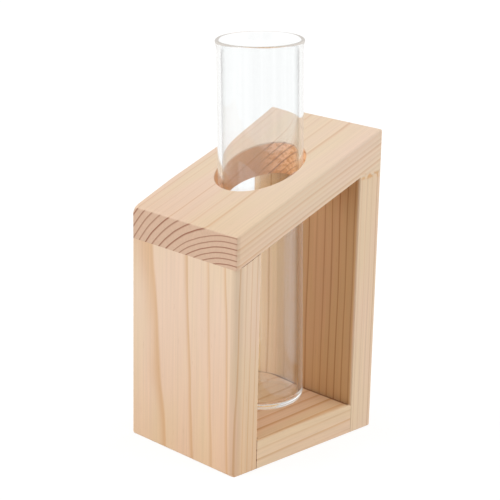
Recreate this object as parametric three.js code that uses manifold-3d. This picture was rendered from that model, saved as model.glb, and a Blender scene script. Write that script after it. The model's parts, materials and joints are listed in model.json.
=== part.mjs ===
// A clear glass test tube standing in a small pine stand with a sloping top.
// Frame: millimetres, +Z up. The origin is on the table under the middle of the stand.
// +X runs from the short end of the stand to the tall end, and Y runs across its width.

import * as THREE from 'three';
import { mergeVertices } from 'three/addons/utils/BufferGeometryUtils.js';
import Module from 'manifold-3d';

// Stand
const STAND_LENGTH = 70;
const STAND_WIDTH = 53;
const SHORT_END_HEIGHT = 85.5;
const TALL_END_HEIGHT = 112;
const BOARD_THICKNESS = 11;
const GLUE_LINE = 0.05;
const EDGE_RADIUS = 1.5;
const EDGE_STEPS = 3;

// Bore in the top board, upright although the board slopes
const BORE_X = 1;
const BORE_RADIUS = 16;
const BORE_SEGMENTS = 96;

// Dowels: two in each corner joint
const DOWEL_RADIUS = 3;
const DOWEL_LENGTH = 20;
const DOWEL_INTO_FACE = 7;
const DOWEL_FLUTES = 12;
const FLUTE_DEPTH = 0.3;
const DOWEL_END_CHAMFER = 0.6;
const DOWEL_SPACING = 27;
const DOWEL_HOLE_RADIUS = 3.2;
const DOWEL_HOLE_END_ROOM = 0.5;
const DOWEL_HOLE_SEGMENTS = 24;

// Test tube
const TUBE_RADIUS = 15;
const TUBE_WALL = 1.5;
const TUBE_LENGTH = 132;
const TUBE_FLOOR = 2;
const HEEL_RADIUS = 3;
const LIP_RADIUS = 15.5;
const LIP_FLARE_HEIGHT = 4;
const TUBE_SEGMENTS = 72;
const ARC_STEPS = 6;

// The tube is narrower than its bore, so it leans towards the short end
const TUBE_FOOT_X = 4.5;
const TUBE_LEAN_DEGREES = 2.2;
const FOOT_GAP = 0.3;

const halfLength = STAND_LENGTH / 2;
const halfWidth = STAND_WIDTH / 2;
const slope = Math.atan2(TALL_END_HEIGHT - SHORT_END_HEIGHT, STAND_LENGTH);
const topBoardHeight = BOARD_THICKNESS / Math.cos(slope);
const innerX = halfLength - BOARD_THICKNESS;
const baseEndX = innerX - GLUE_LINE;
const lean = THREE.MathUtils.degToRad(TUBE_LEAN_DEGREES);

const wasm = await Module();
wasm.setup();

// The short upright is cut on the slope. The tall one is cut square, and the top board has a
// level seat for it.
const topSurface = (x) => SHORT_END_HEIGHT + Math.tan(slope) * (x + halfLength);
const underside = (x) => topSurface(x) - topBoardHeight;
const uprightTop = (x) => underside(x) - GLUE_LINE;
const seat = underside(innerX);

// ---------------------------------------------------------------- joining and cutting

function toSolid(geometry) {
  const bare = geometry.clone();
  bare.deleteAttribute('normal');
  bare.deleteAttribute('uv');
  const merged = mergeVertices(bare);
  return new wasm.Manifold(new wasm.Mesh({
    numProp: 3,
    vertProperties: new Float32Array(merged.attributes.position.array),
    triVerts: new Uint32Array(merged.index.array),
  }));
}

function toGeometry(solid) {
  const mesh = solid.getMesh();
  const geometry = new THREE.BufferGeometry();
  geometry.setAttribute('position', new THREE.BufferAttribute(mesh.vertProperties, 3));
  geometry.setIndex(new THREE.BufferAttribute(mesh.triVerts, 1));
  geometry.computeVertexNormals();
  return geometry;
}

// ---------------------------------------------------------------- boards

// A prism with its outline in the X-Z plane, centred across the width
function sideProfile(points, bevel) {
  const outline = new THREE.Shape(points.map(([x, z]) => new THREE.Vector2(x, z)));
  const geometry = new THREE.ExtrudeGeometry(outline, {
    depth: STAND_WIDTH - 2 * bevel,
    bevelEnabled: bevel > 0,
    bevelThickness: bevel,
    bevelSize: bevel,
    bevelOffset: -bevel,
    bevelSegments: EDGE_STEPS,
  });
  geometry.rotateX(Math.PI / 2);
  geometry.translate(0, halfWidth - bevel, 0);
  return geometry;
}

// The outside of the whole stand, with its long edges eased: each board is trimmed to it
const standEnvelope = toSolid(sideProfile([
  [-halfLength, 0],
  [halfLength, 0],
  [halfLength, TALL_END_HEIGHT],
  [-halfLength, SHORT_END_HEIGHT],
], EDGE_RADIUS));

function board(points, cuts) {
  let solid = toSolid(sideProfile(points, 0)).intersect(standEnvelope);
  for (const cut of cuts) solid = solid.subtract(cut);
  return toGeometry(solid);
}

// ---------------------------------------------------------------- dowels

// Where each dowel's joint face is, and which way the dowel runs through it into the board
// that is bored across its face
const endZ = BOARD_THICKNESS / 2;
const endX = halfLength - BOARD_THICKNESS / 2;
const dowelJoints = [
  { joint: 'short_base', from: [-innerX, endZ], into: [-1, 0] },
  { joint: 'tall_base', from: [innerX, endZ], into: [1, 0] },
  { joint: 'short_top', from: [-endX, underside(-endX)], into: [0, 1] },
  { joint: 'tall_top', from: [endX, seat], into: [0, 1] },
];

// A fluted rod with its two ends turned down to a chamfer
function dowelShape() {
  const outline = new THREE.Shape();
  const count = DOWEL_FLUTES * 2;
  for (let i = 0; i < count; i += 1) {
    const angle = (i / count) * 2 * Math.PI;
    const radius = DOWEL_RADIUS - (i % 2) * FLUTE_DEPTH;
    const x = radius * Math.cos(angle);
    const y = radius * Math.sin(angle);
    if (i === 0) outline.moveTo(x, y);
    else outline.lineTo(x, y);
  }
  outline.closePath();
  const fluted = new THREE.ExtrudeGeometry(outline, { depth: DOWEL_LENGTH, bevelEnabled: false });

  const endRadius = DOWEL_RADIUS - DOWEL_END_CHAMFER;
  const reach = DOWEL_HOLE_RADIUS - endRadius;
  const turned = new THREE.LatheGeometry([
    new THREE.Vector2(0, 0),
    new THREE.Vector2(endRadius, 0),
    new THREE.Vector2(DOWEL_HOLE_RADIUS, reach),
    new THREE.Vector2(DOWEL_HOLE_RADIUS, DOWEL_LENGTH - reach),
    new THREE.Vector2(endRadius, DOWEL_LENGTH),
    new THREE.Vector2(0, DOWEL_LENGTH),
  ], DOWEL_HOLE_SEGMENTS).rotateX(Math.PI / 2);
  return toGeometry(toSolid(fluted).intersect(toSolid(turned)));
}

// Turns and moves something made along +Z so that it lies on a dowel's line
function placeOnDowelLine(object, place, y) {
  const direction = new THREE.Vector3(place.into[0], 0, place.into[1]);
  const start = DOWEL_INTO_FACE - DOWEL_LENGTH;
  object.quaternion.setFromUnitVectors(new THREE.Vector3(0, 0, 1), direction);
  object.position.set(place.from[0], y, place.from[1]).addScaledVector(direction, start);
  object.updateMatrix();
  return object;
}

function dowelHole(place, y) {
  const length = DOWEL_LENGTH + 2 * DOWEL_HOLE_END_ROOM;
  const hole = new THREE.CylinderGeometry(
    DOWEL_HOLE_RADIUS, DOWEL_HOLE_RADIUS, length, DOWEL_HOLE_SEGMENTS);
  hole.rotateX(Math.PI / 2);
  hole.translate(0, 0, DOWEL_LENGTH / 2);
  hole.applyMatrix4(placeOnDowelLine(new THREE.Object3D(), place, y).matrix);
  return toSolid(hole);
}

const dowelPlaces = dowelJoints.flatMap((place) => [
  { ...place, side: 'near', y: -DOWEL_SPACING / 2 },
  { ...place, side: 'far', y: DOWEL_SPACING / 2 },
]);
const holesFor = (joints) => dowelPlaces
  .filter((place) => joints.includes(place.joint))
  .map((place) => dowelHole(place, place.y));

// ---------------------------------------------------------------- tube

function arc(centreR, centreZ, radius, startDegrees, endDegrees) {
  const points = [];
  for (let i = 0; i <= ARC_STEPS; i += 1) {
    const turn = startDegrees + (endDegrees - startDegrees) * (i / ARC_STEPS);
    const angle = THREE.MathUtils.degToRad(turn);
    points.push(new THREE.Vector2(
      centreR + radius * Math.cos(angle), centreZ + radius * Math.sin(angle)));
  }
  return points;
}

// Half the section of the tube: out along the underside, up the outside, over the
// fire-polished lip, down the inside and back along the inner floor
function tubeProfile() {
  const innerRadius = TUBE_RADIUS - TUBE_WALL;
  const innerHeel = HEEL_RADIUS - TUBE_WALL / 2;
  const lipRadius = TUBE_WALL / 2;
  const flareStart = TUBE_LENGTH - LIP_FLARE_HEIGHT;
  return [
    new THREE.Vector2(0, 0),
    ...arc(TUBE_RADIUS - HEEL_RADIUS, HEEL_RADIUS, HEEL_RADIUS, -90, 0),
    new THREE.Vector2(TUBE_RADIUS, flareStart),
    ...arc(LIP_RADIUS - lipRadius, TUBE_LENGTH - lipRadius, lipRadius, 0, 180),
    new THREE.Vector2(innerRadius, flareStart),
    ...arc(innerRadius - innerHeel, TUBE_FLOOR + innerHeel, innerHeel, 0, -90),
    new THREE.Vector2(0, TUBE_FLOOR),
  ];
}

// The lathe spins about Y, so it is stood up along +Z afterwards
const tubeGeometry = new THREE.LatheGeometry(tubeProfile(), TUBE_SEGMENTS).rotateX(Math.PI / 2);

// ---------------------------------------------------------------- materials

const pine = new THREE.MeshStandardMaterial({ color: 0xe3c9ad, roughness: 0.62, metalness: 0 });
const beech = new THREE.MeshStandardMaterial({ color: 0xc9a27c, roughness: 0.7, metalness: 0 });
const clearGlass = new THREE.MeshStandardMaterial({
  color: 0xf2f6f6, roughness: 0.03, metalness: 0, transparent: true, opacity: 0.3,
});

// ---------------------------------------------------------------- the object

const group = new THREE.Group();

function addPiece(name, geometry, material) {
  const mesh = new THREE.Mesh(geometry, material);
  mesh.name = name;
  group.add(mesh);
  return mesh;
}

addPiece('base_board', board([
  [-baseEndX, 0],
  [baseEndX, 0],
  [baseEndX, BOARD_THICKNESS],
  [-baseEndX, BOARD_THICKNESS],
], holesFor(['short_base', 'tall_base'])), pine);

addPiece('short_upright', board([
  [-halfLength, 0],
  [-innerX, 0],
  [-innerX, uprightTop(-innerX)],
  [-halfLength, uprightTop(-halfLength)],
], holesFor(['short_base', 'short_top'])), pine);

addPiece('tall_upright', board([
  [innerX, 0],
  [halfLength, 0],
  [halfLength, seat - GLUE_LINE],
  [innerX, seat - GLUE_LINE],
], holesFor(['tall_base', 'tall_top'])), pine);

const bore = new THREE.CylinderGeometry(
  BORE_RADIUS, BORE_RADIUS, TALL_END_HEIGHT, BORE_SEGMENTS);
bore.rotateX(Math.PI / 2);
bore.translate(BORE_X, 0, TALL_END_HEIGHT);
addPiece('top_board', board([
  [-halfLength, underside(-halfLength)],
  [innerX, seat],
  [halfLength, seat],
  [halfLength, TALL_END_HEIGHT],
  [-halfLength, SHORT_END_HEIGHT],
], [...holesFor(['short_top', 'tall_top']), toSolid(bore)]), pine);

for (const place of dowelPlaces) {
  const dowel = addPiece(`${place.joint}_dowel_${place.side}`, dowelShape(), beech);
  placeOnDowelLine(dowel, place, place.y);
}

// The leaning tube touches down on the short-end side of its flat underside
const tube = addPiece('test_tube', tubeGeometry, clearGlass);
const flatRadius = TUBE_RADIUS - HEEL_RADIUS;
const footHeight = BOARD_THICKNESS + FOOT_GAP + flatRadius * Math.sin(lean)
  + HEEL_RADIUS * (1 - Math.cos(lean));
tube.rotation.y = -lean;
tube.position.set(TUBE_FOOT_X, 0, footHeight);

export default group;
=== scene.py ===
import json
import math

import bmesh
import bpy
from mathutils import Euler, Matrix, Vector


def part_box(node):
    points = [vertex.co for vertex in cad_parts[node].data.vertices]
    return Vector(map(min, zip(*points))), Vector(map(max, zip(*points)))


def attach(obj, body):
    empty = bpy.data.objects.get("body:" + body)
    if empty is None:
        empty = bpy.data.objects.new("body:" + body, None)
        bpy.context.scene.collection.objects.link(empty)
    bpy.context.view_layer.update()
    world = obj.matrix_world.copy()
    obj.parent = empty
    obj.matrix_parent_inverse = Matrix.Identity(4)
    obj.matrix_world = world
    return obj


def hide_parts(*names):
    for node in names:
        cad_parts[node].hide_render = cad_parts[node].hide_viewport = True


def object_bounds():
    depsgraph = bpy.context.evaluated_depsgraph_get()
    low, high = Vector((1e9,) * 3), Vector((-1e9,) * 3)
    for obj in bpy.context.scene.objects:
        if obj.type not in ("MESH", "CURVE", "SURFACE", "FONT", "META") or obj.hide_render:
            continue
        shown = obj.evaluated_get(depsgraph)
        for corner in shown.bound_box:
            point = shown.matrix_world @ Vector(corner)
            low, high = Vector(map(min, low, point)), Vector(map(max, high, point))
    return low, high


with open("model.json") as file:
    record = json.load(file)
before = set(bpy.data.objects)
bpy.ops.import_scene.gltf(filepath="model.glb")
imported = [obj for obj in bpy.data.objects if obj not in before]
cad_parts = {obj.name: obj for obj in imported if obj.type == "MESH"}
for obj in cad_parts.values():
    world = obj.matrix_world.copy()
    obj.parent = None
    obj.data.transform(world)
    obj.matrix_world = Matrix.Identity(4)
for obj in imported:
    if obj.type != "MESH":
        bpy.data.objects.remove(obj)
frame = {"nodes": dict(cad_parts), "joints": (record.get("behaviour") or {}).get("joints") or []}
cad_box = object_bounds()


# ---------------------------------------------------------------- camera
# A long lens on a tripod, about half a metre from the low end's near corner and a little
# above the stand, so that the sloped top and the two nearest sides all show.

MM = 0.001
camera_turn = math.radians(-44.85)
camera_height_angle = math.radians(16.58)
camera_roll = math.radians(1.237)
camera_distance = 562.25 * MM
sensor_width = 36
lens_length = 114.2
look_offset = Vector((-1.58, 1.57, -3.76)) * MM

look_at = (cad_box[0] + cad_box[1]) / 2 + look_offset
towards_camera = Vector((
    math.sin(camera_turn) * math.cos(camera_height_angle),
    -math.cos(camera_turn) * math.cos(camera_height_angle),
    math.sin(camera_height_angle),
))
level_right = Vector((0, 0, 1)).cross(towards_camera).normalized()
level_up = towards_camera.cross(level_right)
camera_right = level_right * math.cos(camera_roll) + level_up * math.sin(camera_roll)
camera_up = level_up * math.cos(camera_roll) - level_right * math.sin(camera_roll)

camera_data = bpy.data.cameras.new("camera")
camera_data.sensor_width = sensor_width
camera_data.lens = lens_length
camera = bpy.data.objects.new("camera", camera_data)
bpy.context.collection.objects.link(camera)
turned = Matrix((camera_right, camera_up, towards_camera)).transposed().to_4x4()
camera.matrix_world = Matrix.Translation(look_at + towards_camera * camera_distance) @ turned
bpy.context.scene.camera = camera


# ---------------------------------------------------------------- studio
# A white shooting table of opal acrylic in a soft white room. The room is brightest towards
# the low end, and bright too off the near side and overhead, with no hard lamp anywhere.
# White cards near the tube keep what it reflects from going dark, and the backdrop is white.

def srgb(hex_colour):
    channels = [int(hex_colour[i:i + 2], 16) / 255 for i in (1, 3, 5)]
    linear = [c / 12.92 if c <= 0.04045 else ((c + 0.055) / 1.055) ** 2.4 for c in channels]
    return (*linear, 1)


def add_node(tree, kind, *values, output=None, **settings):
    """Adds a node, sets it up, feeds its inputs in order and returns the output asked for."""
    node = tree.nodes.new("ShaderNode" + kind)
    for name, value in settings.items():
        setattr(node, name, value)
    for socket, value in zip([socket for socket in node.inputs if socket.enabled], values):
        if isinstance(value, bpy.types.NodeSocket):
            tree.links.new(value, socket)
        else:
            socket.default_value = value
    return node.outputs[output] if output else next(o for o in node.outputs if o.enabled)


room_grey = 0.25
soft_lights = [
    ((-0.7, 0.7, 0.25), 1.75),
    ((0.8, -0.6, 0.3), 1.55),
    ((-0.2, -0.1, 1.0), 0.31),
]
lobe_edge = 0.4
lobe_core = 0.95
card_share = 0.5
card_white = 0.55
backdrop_white = 1.0
table_size = 9
table_seen = 0.80
table_fill = 0.52

world = bpy.data.worlds.new("white room")
world.use_nodes = True
room = world.node_tree
towards_room = add_node(room, "TexCoord", output="Generated")
brightness = room_grey
for direction, strength in soft_lights:
    facing_light = add_node(room, "VectorMath", towards_room, Vector(direction).normalized(),
                            operation="DOT_PRODUCT")
    glow = add_node(room, "MapRange", facing_light, lobe_edge, lobe_core, 0, strength,
                    interpolation_type="SMOOTHSTEP")
    brightness = add_node(room, "Math", brightness, glow, operation="ADD")
seen_in_glass = add_node(room, "Math", brightness, card_share, card_white, operation="MULTIPLY_ADD")
lights_wood = add_node(room, "LightPath", output="Diffuse Depth")
room_strength = add_node(room, "Mix", lights_wood, seen_in_glass, brightness, data_type="FLOAT")
seen_bare = add_node(room, "LightPath", output="Is Camera Ray")
room_strength = add_node(room, "Mix", seen_bare, room_strength, backdrop_white, data_type="FLOAT")
room.nodes["Background"].inputs["Color"].default_value = srgb("#ffffff")
room.links.new(room_strength, room.nodes["Background"].inputs["Strength"])
bpy.context.scene.world = world
bpy.context.scene.view_settings.view_transform = "Standard"
bpy.context.scene.cycles.use_denoising = True

# The table is lit through from below. It shows pure white to the eye and through the glass,
# and throws back on the wood what a plain pale one would.
bpy.ops.mesh.primitive_plane_add(size=table_size)
table = bpy.context.object
table.name = "shooting_table"
opal = bpy.data.materials.new("opal acrylic, satin")
opal.use_nodes = True
opal_shader = opal.node_tree.nodes["Principled BSDF"]
opal_shader.inputs["Base Color"].default_value = srgb("#8a8a8a")
opal_shader.inputs["Roughness"].default_value = 0.8
opal_shader.inputs["Specular IOR Level"].default_value = 0.0
opal_shader.inputs["Emission Color"].default_value = srgb("#ffffff")
lights_wood = add_node(opal.node_tree, "LightPath", output="Diffuse Depth")
table_glow = add_node(opal.node_tree, "MapRange", lights_wood, 0, 1, table_seen, table_fill)
opal.node_tree.links.new(table_glow, opal_shader.inputs["Emission Strength"])
table.data.materials.append(opal)


# ---------------------------------------------------------------- top board
# A planed pine board, crosscut plumb at both ends, so its ends are end grain. The hole for
# the tube is bored plumb through the slope. The board is glued down on two dowels at each
# end, with a level seat cut under its high end. Its edges are eased on a sanding belt.

top_low, top_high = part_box("top_board")
stand_length = top_high.x - top_low.x
half_length = stand_length / 2
half_width = top_high.y
short_end_top = 85.5 * MM
board_thickness = 11 * MM
slope = math.atan2(top_high.z - short_end_top, stand_length)
bore_x = 1 * MM
bore_radius = 16 * MM
bore_depth = 60 * MM
bore_sides = 144
bore_rim = 0.35 * MM
rim_steps = 3
rim_step = 2 * MM  # neighbouring points of the rim differ in height by less
on_line = 0.01 * MM  # how close to the bore's wall a point counts as on it
bevel_steps = 6
edge_ease = 0.9 * MM
far_edge_ease = 0.5 * MM
near_edge_ease = 0.8 * MM
underside_ease = 0.25 * MM
near_corner_ease = 1.5 * MM
far_corner_ease = 2.5 * MM
sanded_corner = 1.7 * MM
past_edge = 1 * MM  # how close to a face an edge's middle counts as on it
dowel_hole_radius = 3.2 * MM
dowel_hole_sides = 32
dowel_room = 0.5 * MM
inner_x = half_length - board_thickness
board_height = board_thickness / math.cos(slope)


def top_surface(x):
    return short_end_top + math.tan(slope) * (x + half_length)


def underside(x):
    return top_surface(x) - board_height


seat = underside(inner_x)


def deselect_all():
    if bpy.context.object and bpy.context.object.mode == "EDIT":
        bpy.ops.object.mode_set(mode="OBJECT")
    bpy.ops.object.select_all(action="DESELECT")


def edit(piece, pick, parts="verts"):
    """Opens the piece in edit mode with only the parts selected that pick returns True for."""
    deselect_all()
    piece.select_set(True)
    bpy.context.view_layer.objects.active = piece
    bpy.ops.object.mode_set(mode="EDIT")
    bpy.ops.mesh.select_mode(type={"verts": "VERT", "edges": "EDGE", "faces": "FACE"}[parts])
    bpy.ops.mesh.select_all(action="DESELECT")
    mesh = bmesh.from_edit_mesh(piece.data)
    for part in getattr(mesh, parts):
        if pick(part):
            part.select_set(True)
    mesh.select_flush_mode()
    bmesh.update_edit_mesh(piece.data)


def apply_modifier(piece, kind, **settings):
    deselect_all()
    piece.select_set(True)
    bpy.context.view_layer.objects.active = piece
    modifier = piece.modifiers.new(kind.lower(), kind)
    for name, value in settings.items():
        setattr(modifier, name, value)
    bpy.ops.object.modifier_apply(modifier=modifier.name)


def board(name, outline):
    """A board as wide as the stand, from its outline in X and Z."""
    deselect_all()
    mesh = bpy.data.meshes.new(name)
    mesh.from_pydata([(x, -half_width, z) for x, z in outline], [], [range(len(outline))])
    piece = bpy.data.objects.new(name, mesh)
    bpy.context.collection.objects.link(piece)
    edit(piece, lambda face: True, "faces")
    bpy.ops.mesh.extrude_region_move(TRANSFORM_OT_translate={"value": (0, 2 * half_width, 0)})
    bpy.ops.mesh.select_all(action="SELECT")
    bpy.ops.mesh.normals_make_consistent(inside=False)
    deselect_all()
    return piece


def is_plumb(along):
    return abs(along.z) > 0.9


def is_crosswise(along):
    return abs(along.y) > 0.9


def ease_edges(piece, radii):
    """Rounds each edge to the first radius whose test accepts the edge's middle and direction."""
    widest = max(radius for _, radius in radii)
    deselect_all()
    mesh = piece.data
    weights = mesh.attributes.new("bevel_weight_edge", "FLOAT", "EDGE")
    for edge in mesh.edges:
        a, b = (mesh.vertices[i].co for i in edge.vertices)
        middle, along = (a + b) / 2, (b - a).normalized()
        radius = next(radius for accepts, radius in radii if accepts(middle, along))
        weights.data[edge.index].value = radius / widest
    apply_modifier(piece, "BEVEL", width=widest, segments=bevel_steps, limit_method="WEIGHT")
    mesh.attributes.remove(mesh.attributes["bevel_weight_edge"])


def sand_corner(piece, corner, inwards, radius):
    """Takes the point off a corner with flat cuts that touch a ball lying inside it."""
    middle = corner + inwards * radius
    for weights in ((1, 1, 1), (1, 1, 0.45), (1, 0.45, 1), (0.45, 1, 1)):
        outwards = -(inwards * Vector(weights)).normalized()
        edit(piece, lambda vertex: True)
        bpy.ops.mesh.bisect(plane_co=middle + outwards * radius, plane_no=outwards,
                            use_fill=True, clear_outer=True)
    deselect_all()


def bore(piece, centre, direction, radius, depth, sides):
    """Cuts a round hole centred on a point, through or blind."""
    deselect_all()
    turn = Vector(direction).to_track_quat("Z", "Y").to_euler()
    bpy.ops.mesh.primitive_cylinder_add(
        vertices=sides, radius=radius, depth=depth, location=centre, rotation=turn)
    drill = bpy.context.object
    apply_modifier(piece, "BOOLEAN", operation="DIFFERENCE", object=drill, solver="EXACT")
    bpy.data.objects.remove(drill)


def bore_for_dowels(piece, joint):
    """Cuts the two blind holes of a joint, a little deeper than the dowels that lie in them."""
    for side in ("near", "far"):
        low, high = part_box(f"{joint}_dowel_{side}")
        centre = (low + high) / 2
        size = high - low
        direction = (1, 0, 0) if size.x > size.z else (0, 0, 1)
        depth = max(size) + 2 * dowel_room
        bore(piece, centre, direction, dowel_hole_radius, depth, dowel_hole_sides)


def smooth(piece, sharpest=math.radians(40)):
    """Shades rounded edges smooth and keeps the flat faces flat."""
    deselect_all()
    piece.select_set(True)
    bpy.context.view_layer.objects.active = piece
    bpy.ops.object.shade_smooth_by_angle(angle=sharpest)
    apply_modifier(piece, "WEIGHTED_NORMAL", keep_sharp=True, weight=80)


def pine(name, pith, grain_tilt, ring_spacing, ring_start, inner_spacing=None, grain_turn=0,
         wander=0.3, years=0, late_from=0.45, inner_late_from=None, latewood="#dab48c",
         tone="#ffffff", inside="#ffffff", inside_shade_far=None, warm_from=(0, 0, 0),
         warm_towards=(0, 0, -1), warm_length=60, glue_level=None, seam_x=None):
    """Softwood as it grows: rings around a pith line in millimetres, X along the grain.

    Its rings lie ring_spacing apart outside ring_start, and inner_spacing inside it. years
    picks which years grew dark, and late_from is when in the year the latewood starts. tone
    is the whole board's colour. inside is painted shade, multiplied into the faces that face
    into the stand, and the far colour takes over from it towards the far side: painted shade,
    lighter where more light comes in. The wood warms along warm_towards. Glue shows along the
    joint at glue_level. Beyond seam_x the wood is painted dark brown, painted shade of the joint's gap.
    """
    material = bpy.data.materials.new(name)
    material.use_nodes = True
    tree = material.node_tree
    shader = tree.nodes["Principled BSDF"]
    soft = {"interpolation_type": "SMOOTHSTEP"}
    colours = {"data_type": "RGBA"}
    tinted = {"data_type": "RGBA", "blend_type": "MULTIPLY"}

    place = add_node(tree, "TexCoord", output="Object")
    facing = add_node(tree, "TexCoord", output="Normal")
    x, y, z = add_node(tree, "SeparateXYZ", place).node.outputs
    log = add_node(tree, "Mapping", place, Vector(pith) * MM, (0, -grain_tilt, grain_turn),
                   (MM, MM, MM), vector_type="TEXTURE")

    # Distance from the pith, which wanders slowly along the grain and ripples a little. Here
    # and below the sizes of a pattern are in millimetres, along the grain and across it.
    drift_depth, ripple_depth = 4 * wander, 0.5
    across = add_node(tree, "VectorMath", log, (0, 1, 1), operation="MULTIPLY")
    radius = add_node(tree, "VectorMath", across, operation="LENGTH")
    slow = add_node(tree, "VectorMath", log, (95, 40, 40), operation="DIVIDE")
    quick = add_node(tree, "VectorMath", log, (34, 9, 9), operation="DIVIDE")
    drift = add_node(tree, "TexNoise", slow, 1, 1)
    ripple = add_node(tree, "TexNoise", quick, 1, 1)
    radius = add_node(tree, "Math", drift, drift_depth, radius, operation="MULTIPLY_ADD")
    radius = add_node(tree, "Math", ripple, ripple_depth, radius, operation="MULTIPLY_ADD")
    start = ring_start + (drift_depth + ripple_depth) / 2
    from_start = add_node(tree, "Math", radius, start, operation="SUBTRACT")
    inner_spacing = inner_spacing or ring_spacing
    outer_ring = add_node(tree, "Math", from_start, ring_spacing, operation="DIVIDE")
    inner_ring = add_node(tree, "Math", from_start, inner_spacing, operation="DIVIDE")
    ring = add_node(tree, "Math", outer_ring, inner_ring, operation="MINIMUM")

    # One year: pale earlywood darkens slowly to latewood, which ends sharply
    year = add_node(tree, "Math", ring, operation="FRACT")
    starts = late_from if inner_late_from is None else add_node(
        tree, "MapRange", ring, -0.05, 0.05, inner_late_from, late_from)
    late = add_node(tree, "MapRange", year, starts, 0.95, **soft)
    latest = add_node(tree, "MapRange", year, 0.66, 0.90, **soft)
    not_over = add_node(tree, "MapRange", year, 1.0, 0.93, **soft)
    year_number = add_node(tree, "Math", ring, operation="FLOOR")
    year_number = add_node(tree, "Math", year_number, years, operation="ADD")
    vigour = add_node(tree, "TexWhiteNoise", year_number, noise_dimensions="1D")
    strength = add_node(tree, "Math", vigour, vigour, operation="MULTIPLY")
    strength = add_node(tree, "Math", strength, 0.85, 0.15, operation="MULTIPLY_ADD")
    band = add_node(tree, "Math", late, not_over, operation="MULTIPLY")
    band = add_node(tree, "Math", band, strength, operation="MULTIPLY")

    # The long faces: uneven straw colour, darker bands, a few short resin flecks
    clouds = add_node(tree, "VectorMath", log, (55, 14, 14), operation="DIVIDE")
    clouds = add_node(tree, "TexNoise", clouds, 1, 2)
    clouds = add_node(tree, "MapRange", clouds, 0.35, 0.65, **soft)
    face = add_node(tree, "Mix", clouds, srgb("#e9cfb8"), srgb("#e7d1b4"), **colours)
    face = add_node(tree, "Mix", band, face, srgb(latewood), **colours)
    flecks = add_node(tree, "VectorMath", log, (5.5, 0.45, 0.45), operation="DIVIDE")
    flecks = add_node(tree, "TexNoise", flecks, 1, 1)
    flecks = add_node(tree, "MapRange", flecks, 0.74, 0.80, 0, 0.25, **soft)
    face = add_node(tree, "Mix", flecks, face, srgb("#b98a5e"), **colours)
    warmth = add_node(tree, "VectorMath", place, Vector(warm_from) * MM, operation="SUBTRACT")
    warmth = add_node(tree, "VectorMath", warmth, Vector(warm_towards).normalized(),
                      operation="DOT_PRODUCT")
    warmth = add_node(tree, "MapRange", warmth, 0, warm_length * MM, **soft)
    face = add_node(tree, "Mix", warmth, face, srgb("#f7e9d8"), **tinted)
    face = add_node(tree, "Mix", 1.0, face, srgb(tone), **tinted)

    # Faces that look into the stand, a millimetre or so in from its outside
    distance_x = add_node(tree, "Math", x, operation="ABSOLUTE")
    distance_y = add_node(tree, "Math", y, operation="ABSOLUTE")
    top_here = add_node(tree, "Math", x, math.tan(slope), top_surface(0), operation="MULTIPLY_ADD")
    below_top = add_node(tree, "Math", top_here, z, operation="SUBTRACT")
    within = add_node(tree, "MapRange", distance_x, inner_x + 0.6 * MM, inner_x + 0.1 * MM, **soft)
    for depth, outside, well_inside in (
            (distance_y, half_width - 0.2 * MM, half_width - 1.4 * MM),
            (z, board_thickness - 0.6 * MM, board_thickness - 0.1 * MM),
            (below_top, 0.35 * MM, 0.9 * MM)):
        inwards = add_node(tree, "MapRange", depth, outside, well_inside, **soft)
        within = add_node(tree, "Math", within, inwards, operation="MULTIPLY")

    # Where the cut runs across the grain the ends of the fibres drink in light. The bore's wall
    # is painted paler than the outer ends, painted light that lifts the shade in its hole. It is
    # blotched and its rings are fainter.
    grain = Vector((math.cos(grain_tilt) * math.cos(grain_turn),
                    math.cos(grain_tilt) * math.sin(grain_turn), math.sin(grain_tilt)))
    along_grain = add_node(tree, "VectorMath", facing, grain, operation="DOT_PRODUCT")
    along_grain = add_node(tree, "Math", along_grain, operation="ABSOLUTE")
    end_grain = add_node(tree, "MapRange", along_grain, 0.6, 0.9, **soft)
    line = add_node(tree, "Math", latest, not_over, operation="MULTIPLY")
    depth_of_line = add_node(tree, "Math", vigour, 0.4, 0.6, operation="MULTIPLY_ADD")
    line = add_node(tree, "Math", line, depth_of_line, operation="MULTIPLY")
    fainter_in_bore = add_node(tree, "MapRange", within, 0, 1, 1.0, 0.7)
    line = add_node(tree, "Math", line, fainter_in_bore, operation="MULTIPLY")
    blotches = add_node(tree, "VectorMath", log, (7, 2.2, 1.1), operation="DIVIDE")
    blotches = add_node(tree, "TexNoise", blotches, 1, 2)
    blotches = add_node(tree, "MapRange", blotches, 0.4, 0.62, **soft)
    bore_wall_painted_light = add_node(tree, "Mix", blotches, srgb("#ffe0c2"), srgb("#e6ba8e"), **colours)
    cut_ends = add_node(tree, "Mix", within, srgb("#d4b298"), bore_wall_painted_light, **colours)
    ends = add_node(tree, "Mix", line, cut_ends, srgb("#8f5339"), **colours)
    wood = add_node(tree, "Mix", end_grain, face, ends, **colours)
    # Painted shade: the faces that look into the stand are darkened, less towards the far side, where
    # more light comes in
    towards_far = add_node(tree, "MapRange", y, 3 * MM, 17 * MM, **soft)
    inside_shade_far = inside_shade_far or inside
    inside_shade_tone = add_node(tree, "Mix", towards_far, srgb(inside), srgb(inside_shade_far), **colours)
    painted_inside_shade = add_node(tree, "Mix", 1.0, wood, inside_shade_tone, **tinted)
    wood = add_node(tree, "Mix", within, wood, painted_inside_shade, **colours)

    # Painted shade: a dark brown band on the inward faces beyond seam_x stands in for the shade in the
    # joint's gap
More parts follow.
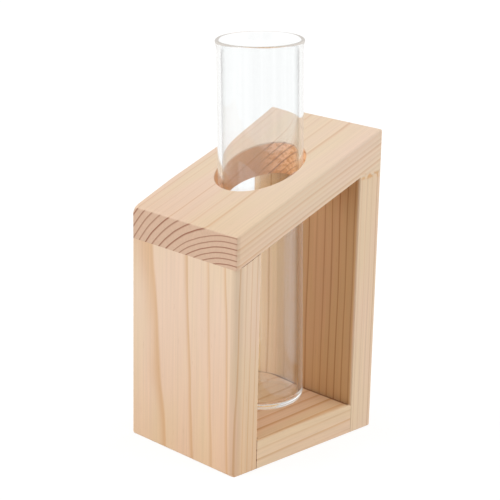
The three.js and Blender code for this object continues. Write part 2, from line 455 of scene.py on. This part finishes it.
    if seam_x is not None:
        joint_shade_edge, joint_shade_share = 0.7 * MM, 0.85
        joint_shade = add_node(tree, "MapRange", distance_x, seam_x, seam_x + joint_shade_edge,
                          0, joint_shade_share, **soft)
        joint_shade = add_node(tree, "Math", joint_shade, within, operation="MULTIPLY")
        wood = add_node(tree, "Mix", joint_shade, wood, srgb("#7d4f2c"), **colours)
    if glue_level is not None:
        glue_spread, glue_core, glue_share, glue_patch = 1.6 * MM, 0.3 * MM, 0.75, 2 * MM
        off_joint = add_node(tree, "Math", z, glue_level, operation="SUBTRACT")
        off_joint = add_node(tree, "Math", off_joint, operation="ABSOLUTE")
        glue = add_node(tree, "MapRange", off_joint, glue_spread, glue_core, 0, glue_share, **soft)
        on_joint = add_node(tree, "MapRange", x, inner_x, inner_x + 1 * MM, **soft)
        patches = add_node(tree, "VectorMath", place, [glue_patch] * 3, operation="DIVIDE")
        patches = add_node(tree, "TexNoise", patches, 1, 1)
        patches = add_node(tree, "MapRange", patches, 0.35, 0.60, **soft)
        glue = add_node(tree, "Math", glue, on_joint, operation="MULTIPLY")
        glue = add_node(tree, "Math", glue, patches, operation="MULTIPLY")
        wood = add_node(tree, "Mix", glue, wood, srgb("#d9a46c"), **colours)

    fibre = add_node(tree, "VectorMath", log, (45, 0.8, 0.8), operation="DIVIDE")
    fibre = add_node(tree, "TexNoise", fibre, 1, 3)
    streak = add_node(tree, "Math", fibre, 0.20, 0.90, operation="MULTIPLY_ADD")
    streaks = add_node(tree, "CombineColor", streak, streak, streak)
    wood = add_node(tree, "Mix", 1.0, wood, streaks, **tinted)
    tree.links.new(wood, shader.inputs["Base Color"])

    # Sanded softwood: the hard latewood stands a few hundredths of a millimetre proud
    relief_depth, relief_share = 0.06 * MM, 0.4
    proud = add_node(tree, "Math", band, 0.8, fibre, operation="MULTIPLY_ADD")
    relief = add_node(tree, "Bump")
    relief.node.inputs["Strength"].default_value = relief_share
    relief.node.inputs["Distance"].default_value = relief_depth
    tree.links.new(proud, relief.node.inputs["Height"])
    tree.links.new(relief, shader.inputs["Normal"])
    shader.inputs["Roughness"].default_value = 0.62
    shader.inputs["IOR"].default_value = 1.45
    shader.inputs["Specular IOR Level"].default_value = 0.3
    return material


top_board = board("pine_top_board", [
    (-half_length, underside(-half_length)),
    (inner_x, seat),
    (half_length, seat),
    (half_length, top_surface(half_length)),
    (-half_length, short_end_top),
])


def is_top(middle):
    return middle.z > top_surface(middle.x) - past_edge


def is_glued_edge(middle, along):
    on_seat = middle.x > inner_x and not is_plumb(along)
    return not is_top(middle) and (is_crosswise(along) or on_seat)


ease_edges(top_board, [
    (is_glued_edge, 0),
    (lambda middle, along: is_plumb(along) and middle.x < 0 and middle.y < 0, near_corner_ease),
    (lambda middle, along: is_plumb(along) and middle.x > 0 and middle.y > 0, far_corner_ease),
    (lambda middle, along: is_plumb(along) or is_crosswise(along), edge_ease),
    (lambda middle, along: is_top(middle) and middle.y > 0, far_edge_ease),
    (lambda middle, along: is_top(middle), near_edge_ease),
    (lambda middle, along: True, underside_ease),
])
sand_corner(top_board, Vector((-half_length, half_width, short_end_top)), Vector((1, -1, -1)),
            sanded_corner)
bore_for_dowels(top_board, "short_top")
bore_for_dowels(top_board, "tall_top")
bore_centre = (bore_x, 0, top_surface(bore_x))
bore(top_board, bore_centre, (0, 0, 1), bore_radius, bore_depth, bore_sides)


def on_bore(point):
    return abs(math.hypot(point.x - bore_x, point.y) - bore_radius) < on_line


def is_bore_rim(edge):
    """True where the bore's upright wall meets the board's top or underside."""
    a, b = (vertex.co for vertex in edge.verts)
    kinds_of_face = set(round(face.normal.z, 1) == 0 for face in edge.link_faces)
    return on_bore(a) and on_bore(b) and abs(a.z - b.z) < rim_step and len(kinds_of_face) == 2


edit(top_board, is_bore_rim, "edges")
bpy.ops.mesh.bevel(offset=bore_rim, segments=rim_steps, affect="EDGES")
deselect_all()
smooth(top_board)
top_board.data.materials.append(pine(
    "pine, sawn near the heart and planed",
    pith=(0, -25.2, 44.9), grain_tilt=slope,
    ring_spacing=2.53, inner_spacing=1.76, ring_start=49.81, wander=0.25,
    years=2033, late_from=0.78, inner_late_from=0.15,
    latewood="#d2a67c", tone="#fefdff", inside="#f8dec2",
    warm_from=(5, 0, 0), warm_towards=(-1, 0, 0), warm_length=90, glue_level=seat))
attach(top_board, "stand")
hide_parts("top_board")


# ---------------------------------------------------------------- short upright
# The low end's board, stood on end with its outer face flat-sawn, so its rings show as a few
# soft stripes. Its top is cut on the slope and glued under the top board.

glue_line = 0.01 * MM
outer_corner_ease = 3.2 * MM
arris_ease = 0.5 * MM
foot_ease = 0.7 * MM


def is_short_joint(middle, along):
    return middle.z > underside(middle.x) - past_edge


short_upright = board("pine_short_upright", [
    (-half_length, 0),
    (-inner_x, 0),
    (-inner_x, underside(-inner_x) - glue_line),
    (-half_length, underside(-half_length) - glue_line),
])
ease_edges(short_upright, [
    (is_short_joint, 0),
    (lambda middle, along: not is_plumb(along), foot_ease),
    (lambda middle, along: middle.x > -inner_x - past_edge, arris_ease),
    (lambda middle, along: middle.y < 0, outer_corner_ease),
    (lambda middle, along: True, edge_ease),
])
bore_for_dowels(short_upright, "short_base")
bore_for_dowels(short_upright, "short_top")
smooth(short_upright)
short_upright.data.materials.append(pine(
    "pine, flat sawn and sanded",
    pith=(114.2, 26, 0), grain_tilt=math.radians(89.4),
    ring_spacing=2.33, ring_start=150.33, wander=0.15, years=557, late_from=0.74,
    tone="#fdf9f7", inside="#ffeddc",
    warm_from=(-35, 26, 60), warm_towards=(0, -0.25, -1), warm_length=90))
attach(short_upright, "stand")
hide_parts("short_upright")


# ---------------------------------------------------------------- tall upright
# The high end's board, the same stock cut longer and square at its top, where some glue was
# squeezed out. Its inner face is the heart side, with finer and darker lines than the others.
# Painted shade darkens that face, less towards the far side, where more light falls.

tall_upright = board("pine_tall_upright", [
    (inner_x, 0),
    (half_length, 0),
    (half_length, seat - glue_line),
    (inner_x, seat - glue_line),
])
ease_edges(tall_upright, [
    (lambda middle, along: middle.z > seat - past_edge, 0),
    (lambda middle, along: not is_plumb(along), foot_ease),
    (lambda middle, along: middle.x < inner_x + past_edge, arris_ease),
    (lambda middle, along: middle.y > 0, far_corner_ease),
    (lambda middle, along: True, edge_ease),
])
bore_for_dowels(tall_upright, "tall_base")
bore_for_dowels(tall_upright, "tall_top")
smooth(tall_upright)
tall_upright.data.materials.append(pine(
    "pine, sawn off the heart side and sanded",
    pith=(-73, 55, 0), grain_tilt=math.radians(90),
    ring_spacing=2.1, ring_start=119.27, years=2941, late_from=0.72, latewood="#b98557",
    # inside and the far colour paint shade on the inner face, lighter towards the far side
    tone="#fffdfc", inside="#e2d0b2", inside_shade_far="#fffde4",
    warm_from=(24, 12, 0), warm_towards=(0, -1, 0), warm_length=110, glue_level=seat))
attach(tall_upright, "stand")
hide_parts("tall_upright")


# ---------------------------------------------------------------- base board
# A short board between the uprights, glued and dowelled to them, which the tube stands on.

base_end = inner_x - glue_line
long_edge_ease = 0.7 * MM
top_end_ease = 0.45 * MM
bottom_end_ease = 0.08 * MM
joint_shade_width = 1.7 * MM

base_board = board("pine_base_board", [
    (-base_end, 0),
    (base_end, 0),
    (base_end, board_thickness),
    (-base_end, board_thickness),
])
ease_edges(base_board, [
    (lambda middle, along: is_plumb(along), 0),
    (lambda middle, along: not is_crosswise(along), long_edge_ease),
    (lambda middle, along: middle.z > board_thickness / 2, top_end_ease),
    (lambda middle, along: True, bottom_end_ease),
])
bore_for_dowels(base_board, "short_base")
bore_for_dowels(base_board, "tall_base")
smooth(base_board)
base_board.data.materials.append(pine(
    "pine, rift sawn and sanded",
    pith=(0, -101, -119), grain_tilt=0, grain_turn=math.radians(3.5),
    ring_spacing=3.1, ring_start=157.0, years=2019, late_from=0.6, latewood="#cfa071",
    # seam_x puts painted shade along its joints with the uprights
    tone="#fbf3e9", inside="#fffcf5", seam_x=inner_x - joint_shade_width))
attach(base_board, "stand")
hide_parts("base_board")


# ---------------------------------------------------------------- dowels
# Eight fluted beech dowels, two in each joint, pressed from rod and chamfered at both ends.
# They are hidden once the stand is glued up, so their CAD shape stays and gets its wood.

def beech():
    """Beech: fine, even and pinkish brown, with short dark flecks where the rays end."""
    material = bpy.data.materials.new("beech, turned and fluted")
    material.use_nodes = True
    tree = material.node_tree
    shader = tree.nodes["Principled BSDF"]
    place = add_node(tree, "TexCoord", output="Object")
    stretched = add_node(tree, "VectorMath", place, (0.5 * MM, 0.5 * MM, 2 * MM), operation="DIVIDE")
    flecks = add_node(tree, "TexNoise", stretched, 1, 2)
    dark = add_node(tree, "MapRange", flecks, 0.55, 0.7, interpolation_type="SMOOTHSTEP")
    colour = add_node(tree, "Mix", dark, srgb("#cda77f"), srgb("#a97b52"), data_type="RGBA")
    tree.links.new(colour, shader.inputs["Base Color"])
    shader.inputs["Roughness"].default_value = 0.6
    return material


dowel_wood = beech()
for name, node in frame["nodes"].items():
    if "_dowel_" in name:
        node.material_slots[0].material = dowel_wood


# ---------------------------------------------------------------- test tube
# Clear soda-lime glass: a drawn tube closed to a flat foot with a rounded heel, its cut end
# melted back in the flame to a thin round lip. It stands loose, leaning in its hole.

tube_radius = 15 * MM
tube_wall = 1.5 * MM
tube_length = 132 * MM
tube_floor = 2 * MM
heel_radius = 3 * MM
lip_radius = 15.5 * MM
flare_height = 4 * MM
flare_steps = 8
arc_steps = 12
turns = 192
merge_distance = 0.001 * MM
caught_after = 2.5

lift_axis = Vector(next(j["axis"] for j in frame["joints"] if j["name"] == "tube_lift"))
lean = math.atan2(-lift_axis.x, lift_axis.z)
tube_low, tube_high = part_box("test_tube")
flat_radius = tube_radius - heel_radius
foot = Vector((
    tube_high.x - flat_radius * math.cos(lean) + heel_radius * math.sin(lean) - heel_radius,
    0,
    tube_low.z + flat_radius * math.sin(lean) + heel_radius * (1 - math.cos(lean)),
))


def arc(centre, radius, start, end):
    angles = [math.radians(start + (end - start) * i / arc_steps) for i in range(arc_steps + 1)]
    return [(centre[0] + radius * math.cos(a), centre[1] + radius * math.sin(a)) for a in angles]


def flare(start_radius, end_radius):
    """The wall's slow outward curve below the lip."""
    bottom, top = tube_length - flare_height, tube_length - tube_wall / 2
    points = []
    for i in range(flare_steps):
        t = i / flare_steps
        points.append((start_radius + (end_radius - start_radius) * t * t, bottom + (top - bottom) * t))
    return points


inner_radius = tube_radius - tube_wall
inner_heel = heel_radius - tube_wall / 2
round_lip = tube_wall / 2
section = [(0, 0)]
section += arc((flat_radius, heel_radius), heel_radius, -90, 0)
section += flare(tube_radius, lip_radius)
section += arc((lip_radius - round_lip, tube_length - round_lip), round_lip, 0, 180)
section += reversed(flare(inner_radius, lip_radius - tube_wall))
section += arc((inner_radius - inner_heel, tube_floor + inner_heel), inner_heel, 0, -90)
section += [(0, tube_floor)]

tube_mesh = bpy.data.meshes.new("glass_test_tube")
tube_mesh.from_pydata(
    [(r, 0, z) for r, z in section], [(i, i + 1) for i in range(len(section) - 1)], [])
test_tube = bpy.data.objects.new("glass_test_tube", tube_mesh)
bpy.context.collection.objects.link(test_tube)
edit(test_tube, lambda v: True)
bpy.ops.mesh.spin(steps=turns, angle=2 * math.pi, center=(0, 0, 0), axis=(0, 0, 1))
bpy.ops.mesh.select_all(action="SELECT")
bpy.ops.mesh.remove_doubles(threshold=merge_distance)
bpy.ops.mesh.normals_make_consistent(inside=False)
deselect_all()
test_tube.matrix_world = Matrix.Translation(foot) @ Euler((0, -lean, 0)).to_matrix().to_4x4()
test_tube.select_set(True)
bpy.ops.object.transform_apply(location=True, rotation=True, scale=True)
bpy.ops.object.shade_smooth()


def clear_glass():
    """Soda-lime glass: clear face on, with a painted grey line, a painted reflection, where its inner
    wall turns away.
    """
    material = bpy.data.materials.new("soda-lime glass, drawn and fire polished")
    material.use_nodes = True
    tree = material.node_tree
    shader = tree.nodes["Principled BSDF"]
    soft = {"interpolation_type": "SMOOTHSTEP"}
    place = add_node(tree, "TexCoord", output="Object")
    tube = add_node(tree, "Mapping", place, foot, (0, -lean, 0), vector_type="TEXTURE")
    height = add_node(tree, "SeparateXYZ", tube, output="Z")
    across = add_node(tree, "VectorMath", tube, (1, 1, 0), operation="MULTIPLY")
    from_axis = add_node(tree, "VectorMath", across, operation="LENGTH")

    # A painted reflection: the glass's colour turns grey where the inner wall turns away, on its
    # straight part only, neither the foot nor the lip, and most towards the lip
    inner_wall = add_node(tree, "MapRange", from_axis, tube_radius - 0.6 * tube_wall,
                          tube_radius - 0.8 * tube_wall)
    above_foot = add_node(tree, "MapRange", height, heel_radius, 2 * heel_radius, **soft)
    below_lip = add_node(tree, "MapRange", height, tube_length - 2 * MM, tube_length - 5 * MM, **soft)
    facing = add_node(tree, "LayerWeight", 0.5, output="Facing")
    painted_dark_line = add_node(tree, "MapRange", facing, 0.45, 0.92, **soft)
    towards_lip = add_node(tree, "MapRange", height, 0.7 * tube_length, 0.95 * tube_length, 0.6, 1)
    for part in (inner_wall, above_foot, below_lip, towards_lip):
        painted_dark_line = add_node(tree, "Math", painted_dark_line, part, operation="MULTIPLY")
    tint = add_node(tree, "Mix", painted_dark_line, srgb("#fdfefe"), srgb("#4d4946"), data_type="RGBA")

    # Drawing the tube left faint lengthwise cords in the glass
    cords = add_node(tree, "VectorMath", tube, (3 * MM, 3 * MM, 400 * MM), operation="DIVIDE")
    cords = add_node(tree, "TexNoise", cords, 1, 2)
    cords = add_node(tree, "MapRange", cords, 0.35, 0.65, 0.955, 0.99, **soft)
    cords = add_node(tree, "CombineColor", cords, cords, cords)
    tint = add_node(tree, "Mix", 1.0, tint, cords, data_type="RGBA", blend_type="MULTIPLY")
    tree.links.new(tint, shader.inputs["Base Color"])
    shader.inputs["Transmission Weight"].default_value = 1.0
    shader.inputs["Roughness"].default_value = 0.0
    shader.inputs["IOR"].default_value = 1.5

    # Painted glow: where light would go round in the lip or the heel, the glass glows a soft grey,
    # though it is no lamp
    times_reflected = add_node(tree, "LightPath", output="Glossy Depth")
    painted_glow_share = add_node(tree, "Math", times_reflected, caught_after, operation="GREATER_THAN")
    glow = add_node(tree, "Emission", srgb("#d6cec6"), 1)
    shown = add_node(tree, "MixShader", painted_glow_share, shader.outputs["BSDF"], glow)
    tree.links.new(shown, tree.nodes["Material Output"].inputs["Surface"])
    return material


test_tube.data.materials.append(clear_glass())
# Clear glass takes next to nothing from the light that reaches the wood through it, so it
# throws no shadow and the wood's own light passes it by.
test_tube.visible_shadow = False
test_tube.visible_diffuse = False
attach(test_tube, "tube")
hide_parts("test_tube")
